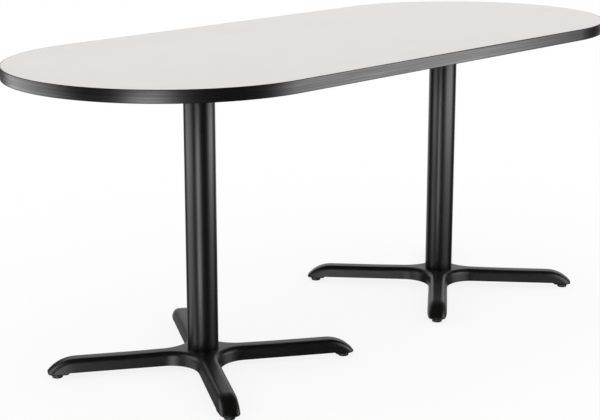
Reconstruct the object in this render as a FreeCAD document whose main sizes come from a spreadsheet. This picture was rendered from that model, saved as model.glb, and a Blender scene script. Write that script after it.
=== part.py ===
import FreeCAD
import Part
import Sketcher
import math
import os
import re

# Racetrack cafe table on two tube-and-casting pedestals.
# Frame: origin on the floor under the middle of the top, +X along the top, +Z up.
# Sizes are millimetres and degrees.

DIMENSIONS = [
    # Top
    ("top_length", 1828.8, "overall length of the top"),
    ("top_width", 762.0, "overall width of the top, round at both ends"),
    ("table_height", 736.6, "floor to working face"),
    ("laminate_thickness", 0.9, "decorative sheet on the working face"),
    ("core_thickness", 27.0, "particle board core"),
    ("backer_thickness", 0.7, "balancing sheet on the underside"),
    # Edge band
    ("edge_thickness", 2.4, "head of the band, measured outwards"),
    ("edge_round", 1.5, "radius on the outer corners of the head"),
    ("edge_fit", 0.05, "clearance between the head and the panel edge"),
    ("spine_length", 9.5, "spine of the band, measured into the slot"),
    ("spine_thickness", 1.6, "spine between its barbs"),
    ("barb_height", 0.25, "barb above the face of the spine"),
    ("slot_depth", 10.5, "slot in the edge of the core"),
    ("slot_fit", 0.1, "clearance between barb tip and slot face"),
    ("seam_gap", 0.3, "butt joint where the two ends of the band meet"),
    # Column
    ("column_spacing", 914.4, "distance between the two column axes"),
    ("column_diameter", 73.0, "outside of the tube"),
    ("column_wall", 2.0, "wall of the tube"),
    ("column_fit", 0.2, "radial clearance between tube and spigot"),
    ("spigot_height", 6.0, "locating ring that enters the tube"),
    ("spigot_wall", 5.0, "wall of the locating ring"),
    # X-base
    ("left_base_turn", 10.3, "left base turned from the diagonals of the top"),
    ("right_base_turn", -8.1, "right base turned from the diagonals of the top"),
    ("arm_width", 51.2, "arm at the foot of its side walls"),
    ("hub_height", 47.3, "floor to the flat that the column stands on"),
    ("hub_flat", 44.0, "radius of the flat that the column stands on"),
    ("hub_run", 150.0, "distance over which the top falls from the flat to the arms"),
    ("arm_height", 46.0, "floor to the flat top of the arms"),
    ("arm_clearance", 15.6, "floor to the foot of the side walls"),
    ("arm_draft", 9.0, "lean of the side walls"),
    ("shoulder_radius", 14.0, "round between side wall and top"),
    ("web_radius", 70.0, "plan radius between neighbouring arms"),
    ("tip_setback", 43.0, "foot axis back to where the top starts to curve down"),
    ("tip_radius", 84.0, "radius of the downward curve at the tip"),
    ("nose_round", 3.0, "round along the lower edge of the tip"),
    ("pad_reach", 20.0, "foot axis back to the edge of the tip pad"),
    ("pad_step_run", 6.0, "length of the slope from side wall down to the pad"),
    ("shell_wall", 6.0, "side wall of the hollow casting"),
    ("shell_top", 7.0, "roof of the hollow casting"),
    ("cavity_draft", 12.0, "lean of the hollow's walls"),
    ("cavity_setback", 30.0, "foot axis back to the end of the hollow"),
    # Levelling glides
    ("foot_circle", 685.8, "diameter of the circle through the foot axes"),
    ("foot_diameter", 25.4, "nylon foot"),
    ("foot_height", 10.2, "nylon foot"),
    ("foot_round", 1.5, "round on the lower edge of the foot"),
    ("foot_floor", 3.6, "nylon under the head of the stem"),
    ("foot_gap", 0.3, "foot to tip pad when screwed fully in"),
    ("head_diameter", 15.0, "head of the stem, held in the foot"),
    ("head_height", 3.0, "head of the stem"),
    ("head_fit", 0.2, "clearance round the head in its socket"),
    ("stem_diameter", 7.94, "threaded stem"),
    ("stem_reach", 15.5, "stem inside the tip when screwed fully in"),
    ("stem_chamfer", 1.0, "lead on the end of the stem"),
    ("stem_fit", 0.06, "radial clearance of the thread"),
    ("bore_end_gap", 1.0, "tapped hole beyond the end of the stem"),
    # Tie rod and its fasteners
    ("rod_diameter", 12.7, "tie rod"),
    ("rod_clearance", 0.65, "radial clearance of the rod in the castings"),
    ("rod_end", 2.0, "rod standing out past each nut"),
    ("rod_chamfer", 1.0, "lead on the ends of the rod"),
    ("nut_fit", 0.05, "radial clearance of the nut thread"),
    ("nut_flats", 19.05, "nut across flats"),
    ("nut_height", 11.1, "nut"),
    ("washer_diameter", 34.9, "flat washer"),
    ("washer_thickness", 2.6, "flat washer"),
    ("lock_diameter", 22.0, "split lock washer"),
    ("lock_thickness", 3.1, "split lock washer"),
    ("lock_slit", 8.0, "angle of the slit in the lock washer"),
    # Spider under the top
    ("spider_hub_diameter", 92.0, "round hub on the end of the tube"),
    ("spider_floor", 9.0, "hub below the nut recess"),
    ("spider_recess_gap", 0.8, "rod end to the face of the hub"),
    ("spider_recess_fit", 2.0, "radial clearance round the washer"),
    ("spider_arm_width", 36.0, "spider arm"),
    ("spider_arm_thickness", 8.0, "spider arm"),
    ("spider_reach", 127.0, "column axis to the end of a spider arm"),
    ("spider_web_radius", 24.0, "plan radius between neighbouring spider arms"),
    ("spider_end_round", 12.0, "plan radius on the corners of an arm end"),
    ("spider_edge_round", 2.0, "round on the lower edges of the hub"),
    # Screws that hold the spiders
    ("screw_inner_radius", 74.0, "column axis to the inner screw"),
    ("screw_outer_radius", 112.0, "column axis to the outer screw"),
    ("screw_diameter", 5.5, "screw shank"),
    ("screw_depth", 16.0, "screw inside the core"),
    ("screw_point", 4.0, "tapered end of the screw"),
    ("screw_head_diameter", 11.0, "pan head"),
    ("screw_head_height", 3.6, "pan head"),
    ("screw_fit", 0.05, "radial clearance in the panel"),
    ("screw_clearance", 0.5, "radial clearance in the spider"),
    ("screw_end_gap", 0.5, "pilot hole beyond the screw point"),
]

# Sizes that follow from the ones above.
DERIVED = {
    "straight_half": "(top_length - top_width) / 2",
    "top_thickness": "laminate_thickness + core_thickness + backer_thickness",
    "underside": "table_height - top_thickness",
    "core_bottom": "underside + backer_thickness",
    "core_top": "core_bottom + core_thickness",
    "panel_half": "top_width / 2 - edge_thickness - edge_fit",
    "edge_inner": "top_width / 2 - edge_thickness",
    "edge_outer": "top_width / 2",
    "edge_middle": "underside + top_thickness / 2",
    "slot_width": "spine_thickness + 2 * (barb_height + slot_fit)",
    "column_bore": "column_diameter / 2 - column_wall",
    "spigot_outer": "column_bore - column_fit",
    "spigot_inner": "spigot_outer - spigot_wall",
    "foot_radius": "foot_circle / 2",
    "pad_bottom": "foot_height + foot_gap",
    "tip_start": "foot_radius - tip_setback",
    "arm_half": "arm_width / 2",
    "wall_lean": "(hub_height - arm_clearance) * tan(arm_draft)",
    "hub_drop": "hub_height - arm_height",
    "hub_curve": "(hub_run * hub_run + hub_drop * hub_drop) / (4 * hub_drop)",
    "shoulder_rise": "arm_height - shoulder_radius",
    "shoulder_centre": "arm_half - (shoulder_radius + sin(arm_draft) * (shoulder_rise - arm_clearance))"
                       " / cos(arm_draft)",
    "shoulder_edge": "shoulder_centre + shoulder_radius * cos(arm_draft)",
    "shoulder_foot": "shoulder_rise + shoulder_radius * sin(arm_draft)",
    "curve_axis": "arm_height - tip_radius",
    "cavity_top": "arm_height - shell_top",
    "cavity_half": "arm_half - shell_wall",
    "cavity_lean": "(cavity_top - arm_clearance) * tan(cavity_draft)",
    "cavity_end": "foot_radius - cavity_setback",
    "stem_top": "pad_bottom + stem_reach",
    "head_top": "foot_floor + head_fit + head_height",
    "rod_hole": "rod_diameter / 2 + rod_clearance",
    "nut_bore": "rod_diameter / 2 + nut_fit",
    "lower_washer_bottom": "cavity_top - washer_thickness",
    "lower_lock_bottom": "lower_washer_bottom - lock_thickness",
    "lower_nut_bottom": "lower_lock_bottom - nut_height",
    "rod_bottom": "lower_nut_bottom - rod_end",
    "rod_top": "underside - spider_recess_gap",
    "upper_nut_bottom": "rod_top - rod_end - nut_height",
    "recess_floor": "upper_nut_bottom - washer_thickness",
    "spider_bottom": "recess_floor - spider_floor",
    "spider_arm_bottom": "underside - spider_arm_thickness",
    "screw_tip": "core_bottom + screw_depth",
}

# Shape of the cut that trims the tips reaches well past them.
TIP_SWEEP = 75.0
CUT_MARGIN = 100.0
SIDES = (("left", -1), ("right", 1))
QUARTERS = (0, 1, 2, 3)

doc = FreeCAD.newDocument("cafe_table")
dims = doc.addObject("Spreadsheet::Sheet", "dims")
for row, (alias, value, note) in enumerate(DIMENSIONS, start=1):
    dims.set("A%d" % row, alias)
    dims.set("B%d" % row, str(value))
    dims.set("C%d" % row, note)
    dims.setAlias("B%d" % row, alias)
doc.recompute()

ALIASES = {alias for alias, value, note in DIMENSIONS}
nodes = []


def formula(text):
    """Expand derived names and point every alias at the sheet."""
    def expand(match):
        word = match.group(0)
        if word in DERIVED:
            return "(" + formula(DERIVED[word]) + ")"
        if word in ALIASES:
            return "dims." + word
        return word
    return re.sub(r"[a-z_]+", expand, str(text))


def size(text):
    """Number that a formula stands for now."""
    return float(dims.evalExpression(formula(text)))


def bind(item, path, text):
    """Drive a property of an object by a formula."""
    item.setExpression(path, formula(text))


def new_body(label):
    """Start a named sub-part."""
    body = doc.addObject("PartDesign::Body", label)
    body.Label = label
    nodes.append(body)
    return body


def place(body, x="0", y="0", turn="0"):
    """Stand a sub-part at a plan position, turned about the vertical."""
    upright = FreeCAD.Rotation(FreeCAD.Vector(0, 0, 1), 1.0)
    body.Placement = FreeCAD.Placement(FreeCAD.Vector(0, 0, 0), upright)
    bind(body, "Placement.Base.x", x)
    bind(body, "Placement.Base.y", y)
    bind(body, "Placement.Rotation.Angle", turn)


def new_sketch(body, name, role="XY_Plane", level="0", lift="0"):
    """Sketch on an origin plane, moved along its normal and along its own second axis."""
    plane = [item for item in body.Origin.OriginFeatures if item.Role == role][0]
    sketch = body.newObject("Sketcher::SketchObject", name)
    sketch.AttachmentSupport = [(plane, "")]
    sketch.MapMode = "FlatFace"
    bind(sketch, "AttachmentOffset.Base.z", level)
    bind(sketch, "AttachmentOffset.Base.y", lift)
    return sketch


def pin_point(sketch, index, position, x, y):
    """Hold one point of a sketch at two formulas."""
    for kind, text in (("DistanceX", x), ("DistanceY", y)):
        number = sketch.addConstraint(Sketcher.Constraint(kind, index, position, size(text)))
        bind(sketch, "Constraints[%d]" % number, text)


def set_radius(sketch, index, text):
    """Hold the radius of an arc or circle at a formula."""
    number = sketch.addConstraint(Sketcher.Constraint("Radius", index, size(text)))
    bind(sketch, "Constraints[%d]" % number, text)


def arc_between(start, end, radius, turn):
    """Arc of less than half a circle; turn is 1 for a centre on the left of travel, -1 on the right."""
    chord = end - start
    middle = (start + end) * 0.5
    left = FreeCAD.Vector(-chord.y, chord.x, 0).normalize()
    rise = math.sqrt(radius ** 2 - (chord.Length / 2) ** 2)
    centre = middle + left * (rise * turn)
    first, last = (start, end) if turn > 0 else (end, start)
    first_angle = math.atan2(first.y - centre.y, first.x - centre.x)
    last_angle = math.atan2(last.y - centre.y, last.x - centre.x)
    circle = Part.Circle(centre, FreeCAD.Vector(0, 0, 1), radius)
    return Part.ArcOfCircle(circle, first_angle, last_angle)


def draw(sketch, points, arcs=None, closed=True):
    """Draw lines and arcs through points given as pairs of formulas.

    arcs maps the number of a point to the (radius, turn) of the arc that leaves it.
    """
    arcs = arcs or {}
    spots = [FreeCAD.Vector(size(x), size(y), 0) for x, y in points]
    count = len(points) if closed else len(points) - 1
    ends = []
    for step in range(count):
        start = spots[step]
        end = spots[(step + 1) % len(spots)]
        first, last = 1, 2
        if step in arcs:
            radius, turn = arcs[step]
            index = sketch.addGeometry(arc_between(start, end, size(radius), turn), False)
            set_radius(sketch, index, radius)
            if turn < 0:
                first, last = 2, 1
        else:
            index = sketch.addGeometry(Part.LineSegment(start, end), False)
        pin_point(sketch, index, first, *points[step])
        if ends:
            sketch.addConstraint(Sketcher.Constraint("Coincident", ends[-1][0], ends[-1][2], index, first))
        ends.append((index, first, last))
    if closed:
        sketch.addConstraint(Sketcher.Constraint("Coincident", ends[-1][0], ends[-1][2], *ends[0][:2]))
    else:
        pin_point(sketch, ends[-1][0], ends[-1][2], *points[-1])


def draw_circle(sketch, radius, x="0", y="0"):
    """Draw a circle at two formulas."""
    centre = FreeCAD.Vector(size(x), size(y), 0)
    circle = Part.Circle(centre, FreeCAD.Vector(0, 0, 1), size(radius))
    index = sketch.addGeometry(circle, False)
    pin_point(sketch, index, 3, x, y)
    set_radius(sketch, index, radius)


def draw_racetrack(sketch, half):
    """Outline with straight sides and round ends, half as wide as given."""
    run = "straight_half"
    end = "straight_half + %s" % half
    points = [
        ("-" + run, "-(%s)" % half),
        (run, "-(%s)" % half),
        (end, "0"),
        (run, half),
        ("-" + run, half),
        ("-(%s)" % end, "0"),
    ]
    draw(sketch, points, {step: (half, 1) for step in (1, 2, 4, 5)})


def draw_cross(sketch, half, reach, web, corner=None):
    """Four arms along the axes, rounded between neighbours and, with corner, at their ends."""
    inner = "%s + %s" % (half, web)
    if corner:
        arm = [
            (inner, "-(%s)" % half, None, 0),
            ("%s - %s" % (reach, corner), "-(%s)" % half, corner, 1),
            (reach, "%s - (%s)" % (corner, half), None, 0),
            (reach, "%s - %s" % (half, corner), corner, 1),
            ("%s - %s" % (reach, corner), half, None, 0),
            (inner, half, web, -1),
        ]
    else:
        arm = [
            (inner, "-(%s)" % half, None, 0),
            (reach, "-(%s)" % half, None, 0),
            (reach, half, None, 0),
            (inner, half, web, -1),
        ]
    points = []
    arcs = {}
    for quarter in QUARTERS:
        for x, y, radius, turn in arm:
            if radius:
                arcs[len(points)] = (radius, turn)
            turned = [(x, y), ("-(%s)" % y, x), ("-(%s)" % x, "-(%s)" % y), (y, "-(%s)" % x)]
            points.append(turned[quarter])
    draw(sketch, points, arcs)


def make(body, kind, name, profile=None, **lengths):
    """Add a feature whose sizes are formulas and make it the tip of its body."""
    feature = body.newObject("PartDesign::" + kind, name)
    if profile is not None:
        feature.Profile = profile
        profile.Visibility = False
    for path, text in lengths.items():
        bind(feature, path, text)
    body.Tip = feature
    return feature


def pad(body, name, sketch, length):
    """Raise a sketch along its normal."""
    return make(body, "Pad", name, sketch, Length=length)


def pocket_up(body, name, sketch, length):
    """Cut upwards from a sketch."""
    feature = make(body, "Pocket", name, sketch, Length=length)
    feature.Reversed = True
    return feature


def turn_round(body, kind, name, sketch, angle="360", axis="V_Axis"):
    """Add or cut a sketch turned about one of its axes."""
    feature = make(body, kind, name, sketch)
    feature.ReferenceAxis = (sketch, [axis])
    bind(feature, "Angle", angle)
    return feature


def repeat_round(body, name, features):
    """Repeat features at the four quarters about the vertical axis."""
    axis = [item for item in body.Origin.OriginFeatures if item.Role == "Z_Axis"][0]
    feature = make(body, "PolarPattern", name)
    feature.Originals = features
    feature.Axis = (axis, [""])
    feature.Angle = 360
    feature.Occurrences = len(QUARTERS)
    body.Tip = feature
    return feature


def round_edges(body, name, radius, wanted):
    """Round the edges of the body's tip that pass a test."""
    doc.recompute()
    base = body.Tip
    names = []
    for number, edge in enumerate(base.Shape.Edges, start=1):
        if wanted(edge):
            names.append("Edge%d" % number)
    feature = make(body, "Fillet", name)
    feature.Base = (base, names)
    bind(feature, "Radius", radius)
    return feature


def at_level(edge, level):
    """True for an edge that lies in a level plane."""
    box = edge.BoundBox
    return abs(box.ZMin - level) < 1e-4 and abs(box.ZMax - level) < 1e-4


def spots_along(edge):
    """Ends and middle of an edge."""
    first, last = edge.ParameterRange
    return [edge.valueAt(first), edge.valueAt((first + last) / 2), edge.valueAt(last)]


def plan_reach(edge):
    """Least distance of an edge's ends and middle from the vertical axis."""
    return min(math.hypot(point.x, point.y) for point in spots_along(edge))


def screw_spots(side):
    """Plan positions of the eight screws under one end of the top, as pairs of formulas."""
    spots = []
    for quarter in QUARTERS:
        angle = 45 + 90 * quarter
        for radius in ("screw_inner_radius", "screw_outer_radius"):
            x = "%d * column_spacing / 2 + %s * cos(%d)" % (side, radius, angle)
            y = "%s * sin(%d)" % (radius, angle)
            spots.append((x, y))
    return spots


def build_panel_sheet(label, level, thickness):
    """Racetrack sheet of the panel."""
    body = new_body(label)
    outline = new_sketch(body, label + "_outline", level=level)
    draw_racetrack(outline, "panel_half")
    pad(body, label + "_sheet", outline, thickness)
    return body


def drill_panel(body, level, depth):
    """Pilot holes for the spider screws."""
    holes = new_sketch(body, body.Label + "_holes", level=level)
    for name, side in SIDES:
        for x, y in screw_spots(side):
            draw_circle(holes, "screw_diameter / 2 + screw_fit", x, y)
    pocket_up(body, body.Label + "_drilled", holes, depth)


def build_top():
    """Laminate, core with its slot, backer and edge band."""
    build_panel_sheet("top_laminate", "core_top", "laminate_thickness")

    core = build_panel_sheet("core_panel", "core_bottom", "core_thickness")
    slot = new_sketch(core, "core_slot_outline", level="edge_middle - slot_width / 2")
    draw_racetrack(slot, "top_width / 2")
    draw_racetrack(slot, "panel_half - slot_depth")
    pocket_up(core, "core_slot", slot, "slot_width")
    drill_panel(core, "core_bottom", "screw_depth + screw_end_gap")

    backer = build_panel_sheet("backer_sheet", "underside", "backer_thickness")
    drill_panel(backer, "underside", "backer_thickness")

    build_edge_band()


def build_edge_band():
    """T-moulding that runs once round the panel, its ends meeting on the far long side."""
    band = new_body("edge_band")
    path = new_sketch(band, "edge_path", level="edge_middle")
    run = "straight_half"
    line = "edge_inner"
    end = "straight_half + edge_inner"
    stops = [
        ("seam_gap / 2", line),
        (run, line),
        (end, "0"),
        (run, "-" + line),
        ("-" + run, "-" + line),
        ("-(%s)" % end, "0"),
        ("-" + run, line),
        ("-seam_gap / 2", line),
    ]
    draw(path, stops, {step: (line, -1) for step in (1, 2, 4, 5)}, closed=False)

    section = new_sketch(band, "edge_section", "YZ_Plane", level="seam_gap / 2")
    barb_steps = ("edge_inner - 0.35 * spine_length", "edge_inner - 0.68 * spine_length")
    spine_end = "edge_inner - spine_length"
    face = "spine_thickness / 2"
    barb = "spine_thickness / 2 + barb_height"
    upper = [("edge_inner", face)]
    for step in barb_steps:
        upper.append((step, face))
        upper.append((step, barb))
    upper.append((spine_end, face))
    points = [
        ("edge_inner", "underside"),
        ("edge_outer - edge_round", "underside"),
        ("edge_outer", "underside + edge_round"),
        ("edge_outer", "table_height - edge_round"),
        ("edge_outer - edge_round", "table_height"),
        ("edge_inner", "table_height"),
    ]
    points += [(y, "edge_middle + %s" % z) for y, z in upper]
    points += [(y, "edge_middle - (%s)" % z) for y, z in reversed(upper)]
    draw(section, points, {step: ("edge_round", 1) for step in (1, 3)})
    strip = make(band, "AdditivePipe", "edge_strip", section)
    strip.Spine = (path, [])


def build_base(name, side):
    """X-base casting: four arms, curved tips with pads, hollow underside, spigot and bores."""
    body = new_body(name + "_x_base")
    prefix = name + "_base_"

    low = new_sketch(body, prefix + "low", level="arm_clearance")
    draw_cross(low, "arm_half", "tip_start", "web_radius")
    high = new_sketch(body, prefix + "high", level="hub_height")
    draw_cross(high, "(arm_half - wall_lean)", "tip_start", "(web_radius + wall_lean)")
    arms = make(body, "AdditiveLoft", prefix + "arms", low)
    arms.Sections = [(high, [""])]
    arms.Ruled = True

    # Top falls in an even double curve from the hub to the arms
    fall = new_sketch(body, prefix + "fall", "XZ_Plane")
    outline = [
        ("hub_flat", "hub_height"),
        ("hub_flat + hub_run / 2", "hub_height - hub_drop / 2"),
        ("hub_flat + hub_run", "arm_height"),
        ("foot_radius", "arm_height"),
        ("foot_radius", "hub_height + %s" % CUT_MARGIN),
        ("hub_flat", "hub_height + %s" % CUT_MARGIN),
    ]
    draw(fall, outline, {0: ("hub_curve", -1), 1: ("hub_curve", 1)})
    turn_round(body, "Groove", prefix + "top", fall)

    top = size("arm_height")
    last = size("tip_start")

    def is_shoulder(edge):
        """True for the top edges of the side walls."""
        points = spots_along(edge)
        reaches = [math.hypot(point.x, point.y) for point in points]
        high = all(point.z > top - 1e-4 for point in points)
        about_axis = max(reaches) - min(reaches) < 1e-3
        at_end = all(max(abs(point.x), abs(point.y)) > last - 1e-4 for point in points)
        return high and not about_axis and not at_end

    round_edges(body, prefix + "shoulders", "shoulder_radius", is_shoulder)

    # Section at the end of an arm, drawn from the axis that the tip curves round
    section = new_sketch(body, prefix + "tip_section", "YZ_Plane", level="tip_start", lift="curve_axis")
    outline = [
        ("-arm_half", "arm_clearance - curve_axis"),
        ("arm_half", "arm_clearance - curve_axis"),
        ("shoulder_edge", "shoulder_foot - curve_axis"),
        ("shoulder_centre", "tip_radius"),
        ("-shoulder_centre", "tip_radius"),
        ("-shoulder_edge", "shoulder_foot - curve_axis"),
    ]
    draw(section, outline, {step: ("shoulder_radius", 1) for step in (2, 4)})
    tip = turn_round(body, "Revolution", prefix + "tip", section, TIP_SWEEP, "H_Axis")
    repeat_round(body, prefix + "tips", [tip])

    # Underside: side walls end above the floor, tip pads reach lower
    trim = new_sketch(body, prefix + "trim", "XZ_Plane")
    edge = "foot_radius + %s" % CUT_MARGIN
    outline = [
        ("0", "-%s" % CUT_MARGIN),
        (edge, "-%s" % CUT_MARGIN),
        (edge, "pad_bottom"),
        ("foot_radius - pad_reach", "pad_bottom"),
        ("foot_radius - pad_reach - pad_step_run", "arm_clearance"),
        ("0", "arm_clearance"),
    ]
    draw(trim, outline)
    turn_round(body, "Groove", prefix + "underside", trim)

    pad_level = size("pad_bottom")
    pad_start = size("foot_radius - pad_reach")

    def is_nose(edge):
        """True for the outer edges of the tip pads."""
        return at_level(edge, pad_level) and plan_reach(edge) > pad_start + 5.0

    round_edges(body, prefix + "noses", "nose_round", is_nose)

    # Hollow underside
    mouth = new_sketch(body, prefix + "hollow_low", level="arm_clearance")
    draw_cross(mouth, "cavity_half", "cavity_end", "(arm_half + web_radius - cavity_half)")
    roof = new_sketch(body, prefix + "hollow_high", level="cavity_top")
    roof_half = "(cavity_half - cavity_lean)"
    draw_cross(roof, roof_half, "cavity_end", "(arm_half + web_radius - %s)" % roof_half)
    hollow = make(body, "SubtractiveLoft", prefix + "hollow", mouth)
    hollow.Sections = [(roof, [""])]
    hollow.Ruled = True

    ring = new_sketch(body, prefix + "spigot_ring", level="hub_height")
    draw_circle(ring, "spigot_outer")
    draw_circle(ring, "spigot_inner")
    pad(body, prefix + "spigot", ring, "spigot_height")

    hole = new_sketch(body, prefix + "rod_circle", level="cavity_top")
    draw_circle(hole, "rod_hole")
    pocket_up(body, prefix + "rod_hole", hole, "hub_height - cavity_top")

    bore = new_sketch(body, prefix + "bore_circle", level="pad_bottom")
    draw_circle(bore, "stem_diameter / 2 + stem_fit", "foot_radius")
    tapped = pocket_up(body, prefix + "bore", bore, "stem_reach + bore_end_gap")
    repeat_round(body, prefix + "bores", [tapped])

    place(body, "%d * column_spacing / 2" % side, turn="45 + %s_base_turn" % name)


def build_ring(label, outer, inner, level, height):
    """Plain ring, such as a tube or a flat washer."""
    body = new_body(label)
    outline = new_sketch(body, label + "_circles", level=level)
    draw_circle(outline, outer)
    draw_circle(outline, inner)
    pad(body, label + "_ring", outline, height)
    return body


def build_lock_washer(label, level):
    """Split ring."""
    body = new_body(label)
    section = new_sketch(body, label + "_section", "XZ_Plane")
    upper = "%s + lock_thickness" % level
    outline = [
        ("nut_bore", level),
        ("lock_diameter / 2", level),
        ("lock_diameter / 2", upper),
        ("nut_bore", upper),
    ]
    draw(section, outline)
    turn_round(body, "Revolution", label + "_ring", section, "360 - lock_slit")
    return body


def build_nut(label, level):
    """Hexagon nut with its corners turned off at both faces."""
    body = new_body(label)
    outline = new_sketch(body, label + "_outline", level=level)
    corner = "nut_flats / sqrt(3)"
    points = []
    for step in range(6):
        angle = 60 * step
        points.append(("%s * cos(%d)" % (corner, angle), "%s * sin(%d)" % (corner, angle)))
    draw(outline, points)
    draw_circle(outline, "nut_bore")
    pad(body, label + "_hexagon", outline, "nut_height")

    upper = "%s + nut_height" % level
    drop = "(%s - 0.48 * nut_flats) * tan(30)" % corner
    faces = (("top", upper, "%s - %s" % (upper, drop)), ("bottom", level, "%s + %s" % (level, drop)))
    for face, plane, shoulder in faces:
        turned = new_sketch(body, "%s_%s" % (label, face), "XZ_Plane")
        draw(turned, [("0.48 * nut_flats", plane), (corner, shoulder), (corner, plane)])
        turn_round(body, "Groove", "%s_%s_turned" % (label, face), turned)
    return body


def build_rod(label):
    """Tie rod with a lead at each end."""
    body = new_body(label)
    section = new_sketch(body, label + "_section", "XZ_Plane")
    radius = "rod_diameter / 2"
    outline = [
        ("0", "rod_bottom"),
        (radius + " - rod_chamfer", "rod_bottom"),
        (radius, "rod_bottom + rod_chamfer"),
        (radius, "rod_top - rod_chamfer"),
        (radius + " - rod_chamfer", "rod_top"),
        ("0", "rod_top"),
    ]
    draw(section, outline)
    turn_round(body, "Revolution", label + "_bar", section)
    return body


def build_spider(label):
    """Four-arm casting between column and top: hub, recess for the nut, spigot and screw holes."""
    body = new_body(label)
    hub = new_sketch(body, label + "_hub_circle", level="spider_bottom")
    draw_circle(hub, "spider_hub_diameter / 2")
    pad(body, label + "_hub", hub, "underside - spider_bottom")
    lowest = size("spider_bottom")
    round_edges(body, label + "_hub_round", "spider_edge_round", lambda edge: at_level(edge, lowest))

    arms = new_sketch(body, label + "_arm_outline", level="spider_arm_bottom")
    half = "(spider_arm_width / 2)"
    draw_cross(arms, half, "spider_reach", "spider_web_radius", "spider_end_round")
    pad(body, label + "_arms", arms, "spider_arm_thickness")

    ring = new_sketch(body, label + "_spigot_ring", level="spider_bottom - spigot_height")
    draw_circle(ring, "spigot_outer")
    draw_circle(ring, "spigot_inner")
    pad(body, label + "_spigot", ring, "spigot_height")

    recess = new_sketch(body, label + "_recess_circle", level="recess_floor")
    draw_circle(recess, "washer_diameter / 2 + spider_recess_fit")
    pocket_up(body, label + "_recess", recess, "underside - recess_floor")

    hole = new_sketch(body, label + "_rod_circle", level="spider_bottom")
    draw_circle(hole, "rod_hole")
    pocket_up(body, label + "_rod_hole", hole, "spider_floor")

    screws = new_sketch(body, label + "_screw_circles", level="spider_arm_bottom")
    for radius in ("screw_inner_radius", "screw_outer_radius"):
        draw_circle(screws, "screw_diameter / 2 + screw_clearance", radius)
    drilled = pocket_up(body, label + "_screw_holes", screws, "spider_arm_thickness")
    repeat_round(body, label + "_all_screw_holes", [drilled])
    return body


def build_screws(label):
    """Eight pan-head wood screws of one spider, as separate solids."""
    body = new_body(label)
    body.AllowCompound = True
    shanks = []
    for number, radius in enumerate(("screw_inner_radius", "screw_outer_radius"), start=1):
        section = new_sketch(body, "%s_section_%d" % (label, number), "XZ_Plane")
        head = "%s + screw_head_diameter / 2" % radius
        shank = "%s + screw_diameter / 2" % radius
        face = "spider_arm_bottom"
        outline = [
            (radius, "%s - screw_head_height" % face),
            ("%s - 0.3 * screw_head_height" % head, "%s - screw_head_height" % face),
            (head, "%s - 0.7 * screw_head_height" % face),
            (head, face),
            (shank, face),
            (shank, "screw_tip - screw_point"),
            ("%s + 0.12 * screw_diameter" % radius, "screw_tip"),
            (radius, "screw_tip"),
        ]
        draw(section, outline)
        axis = section.addGeometry(Part.LineSegment(
            FreeCAD.Vector(size(radius), 0, 0),
            FreeCAD.Vector(size(radius), 10, 0)), True)
        pin_point(section, axis, 1, radius, "0")
        pin_point(section, axis, 2, radius, "10")
        shanks.append(turn_round(body, "Revolution", "%s_turned_%d" % (label, number), section, axis="Axis0"))
    repeat_round(body, label + "_all", shanks)
    return body


def build_glide(name, side, quarter):
    """One levelling glide: threaded stem with a head, and the nylon foot that holds the head."""
    number = quarter + 1
    foot = new_body("%s_glide_foot_%d" % (name, number))
    section = new_sketch(foot, foot.Label + "_section", "XZ_Plane")
    outer = "foot_diameter / 2"
    throat = "stem_diameter / 2 + head_fit"
    socket = "head_diameter / 2 + head_fit"
    outline = [
        ("0", "0"),
        (outer + " - foot_round", "0"),
        (outer, "foot_round"),
        (outer, "foot_height"),
        (throat, "foot_height"),
        (throat, "head_top + head_fit"),
        (socket, "head_top + head_fit"),
        (socket, "foot_floor"),
        ("0", "foot_floor"),
    ]
    draw(section, outline, {1: ("foot_round", 1)})
    turn_round(foot, "Revolution", foot.Label + "_turned", section)

    stem = new_body("%s_glide_stem_%d" % (name, number))
    section = new_sketch(stem, stem.Label + "_section", "XZ_Plane")
    shank = "stem_diameter / 2"
    outline = [
        ("0", "foot_floor + head_fit"),
        ("head_diameter / 2", "foot_floor + head_fit"),
        ("head_diameter / 2", "head_top"),
        (shank, "head_top"),
        (shank, "stem_top - stem_chamfer"),
        (shank + " - stem_chamfer", "stem_top"),
        ("0", "stem_top"),
    ]
    draw(section, outline)
    turn_round(stem, "Revolution", stem.Label + "_turned", section)

    angle = "%d + %s_base_turn" % (45 + 90 * quarter, name)
    x = "%d * column_spacing / 2 + foot_radius * cos(%s)" % (side, angle)
    y = "foot_radius * sin(%s)" % angle
    place(foot, x, y)
    place(stem, x, y)


def build_pedestal(name, side):
    """One column with its base, tie rod, spider and fasteners."""
    axis = "%d * column_spacing / 2" % side
    build_base(name, side)
    tube = build_ring(name + "_column", "column_diameter / 2", "column_bore",
                      "hub_height", "spider_bottom - hub_height")
    rod = build_rod(name + "_tie_rod")
    lower = build_ring(name + "_lower_washer", "washer_diameter / 2", "rod_hole",
                       "lower_washer_bottom", "washer_thickness")
    lock = build_lock_washer(name + "_lock_washer", "lower_lock_bottom")
    lower_nut = build_nut(name + "_lower_nut", "lower_nut_bottom")
    upper = build_ring(name + "_upper_washer", "washer_diameter / 2", "rod_hole",
                       "recess_floor", "washer_thickness")
    upper_nut = build_nut(name + "_upper_nut", "upper_nut_bottom")
    for body in (tube, rod, lower, lock, lower_nut, upper, upper_nut):
        place(body, axis)
    for body in (build_spider(name + "_spider"), build_screws(name + "_spider_screws")):
        place(body, axis, turn="45")
    for quarter in QUARTERS:
        build_glide(name, side, quarter)


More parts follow.
